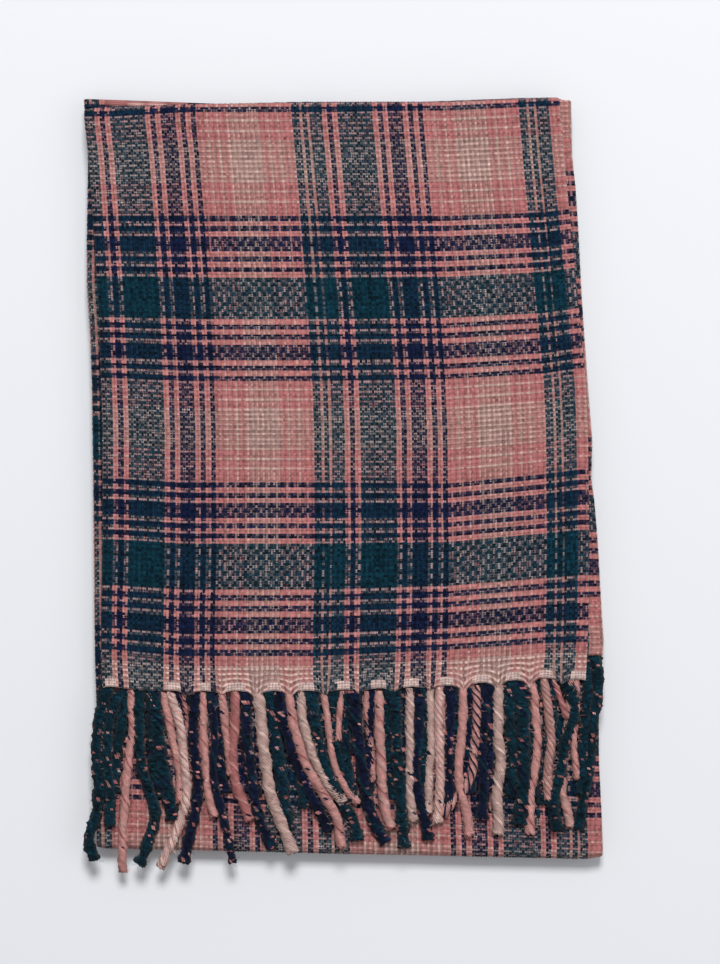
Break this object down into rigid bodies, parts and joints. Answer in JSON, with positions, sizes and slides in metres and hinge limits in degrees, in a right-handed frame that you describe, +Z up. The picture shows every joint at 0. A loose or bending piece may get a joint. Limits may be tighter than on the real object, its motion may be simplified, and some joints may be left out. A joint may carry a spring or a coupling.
{
  "type": "blanket scarf",
  "caption": "Large woven plaid blanket scarf with a tasselled fringe, folded into a flat stack.",
  "frame": {"origin": "bottom centre of the bounding box, at the height of the table", "axes": "+X across the scarf away from the lengthwise fold, +Y from the fringe towards the first cross fold, +Z up"},
  "size_m": [0.3581, 0.535, 0.0205],
  "materials": {
    "rose_wool": "matte",
    "teal_wool": "matte",
    "greige_wool": "matte",
    "navy_wool": "matte",
    "pink_wool": "matte"
  },
  "bodies": {
    "root": {"end_panel_upper": "rose_wool", "end_panel_under": "teal_wool", "body_panel": "greige_wool", "inner_folds": "navy_wool", "fringe_end": "pink_wool", "fringe_under": "teal_wool"}
  },
  "joints": []
}
